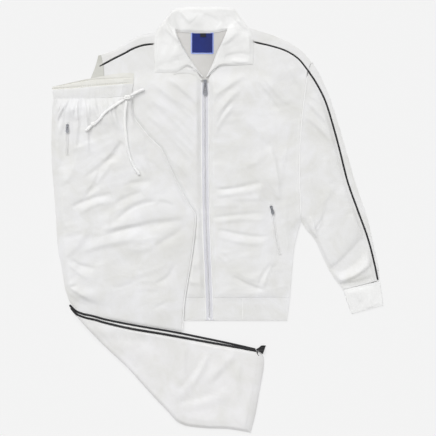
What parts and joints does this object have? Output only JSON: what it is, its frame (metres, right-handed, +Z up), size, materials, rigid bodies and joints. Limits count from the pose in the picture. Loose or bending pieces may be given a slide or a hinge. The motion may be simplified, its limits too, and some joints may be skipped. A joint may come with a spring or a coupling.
{
  "type": "tracksuit laid flat",
  "caption": "Zip-up tracksuit jacket with a turned-down collar, laid flat, with its piped trousers folded across one side of it.",
  "frame": {"origin": "on the surface it lies on, under the middle of the whole lay-out", "axes": "+Z up from the surface; +Y from the jacket's hem to its collar; +X to the wearer's left of the jacket"},
  "size_m": [0.8138, 1.0444, 0.0217],
  "materials": {
    "cloth": "smooth polyester knit with a soft satin sheen",
    "cloth_inner": "inner face of the knit, duller",
    "cuff_rib": "rib knit",
    "piping": "matt woven piping",
    "zip_tape": "woven tape and nylon coil",
    "zip_metal": "gunmetal",
    "neck_label": "woven label, bare",
    "size_tab": "woven tab, bare",
    "drawstring": "braided cord"
  },
  "bodies": {
    "garments": {"drawstring_down": "drawstring", "drawstring_knot": "drawstring", "drawstring_left": "drawstring", "drawstring_up": "drawstring", "jacket_back": "cloth_inner", "jacket_collar_back": "cloth_inner", "jacket_collar_left": "cloth", "jacket_collar_right": "cloth", "jacket_collar_stand_right": "cloth_inner", "jacket_cuff_left_back": "cuff_rib", "jacket_cuff_left_front": "cuff_rib", "jacket_front_left": "cloth", "jacket_front_right": "cloth", "jacket_hem_band_back": "cloth", "jacket_hem_band_left": "cloth", "jacket_hem_band_right": "cloth", "jacket_hem_end_left": "cloth", "jacket_hem_end_right": "cloth", "jacket_neck_label": "neck_label", "jacket_piping_left": "piping", "jacket_piping_right": "piping", "jacket_pocket_slider": "zip_metal", "jacket_pocket_zip": "zip_tape", "jacket_shoulder_left": "cloth", "jacket_shoulder_right": "cloth", "jacket_size_tab": "size_tab", "jacket_sleeve_left_back": "cloth", "jacket_sleeve_left_front": "cloth", "jacket_sleeve_left_strip": "cloth", "jacket_sleeve_right": "cloth", "trousers_front_right": "cloth", "trousers_hidden_layers": "cloth", "trousers_lower_hidden_layers": "cloth", "trousers_lower_leg_left": "cloth", "trousers_lower_leg_right": "cloth", "trousers_piping_left": "piping", "trousers_piping_right": "piping", "trousers_piping_tail": "piping", "trousers_pocket_slider": "zip_metal", "trousers_pocket_zip": "zip_tape", "trousers_waistband_back_left": "cloth", "trousers_waistband_back_right": "cloth", "trousers_waistband_front": "cloth", "zip_bottom_stop": "zip_metal", "zip_coil": "zip_tape", "zip_slider": "zip_metal", "zip_tape_left": "zip_tape", "zip_tape_right": "zip_tape"},
    "zip_pull": {"zip_pull": "zip_metal"},
    "jacket_pocket_pull": {"jacket_pocket_pull": "zip_metal"},
    "trousers_pocket_pull": {"trousers_pocket_pull": "zip_metal"}
  },
  "joints": [
    {"name": "zip_pull_flip", "type": "hinge", "parent": "garments", "child": "zip_pull", "pos_m": [-0.02985, 0.33725, 0.00745], "axis": [-1, 0, 0], "range_deg": [0, 150]},
    {"name": "jacket_pocket_pull_flip", "type": "hinge", "parent": "garments", "child": "jacket_pocket_pull", "pos_m": [0.13275, 0.02925, 0.0081], "axis": [-0.9664, -0.2571, 0], "range_deg": [0, 150]},
    {"name": "trousers_pocket_pull_flip", "type": "hinge", "parent": "garments", "child": "trousers_pocket_pull", "pos_m": [-0.36685, 0.22875, 0.01547], "axis": [-1, 0, 0], "range_deg": [0, 150]}
  ]
}
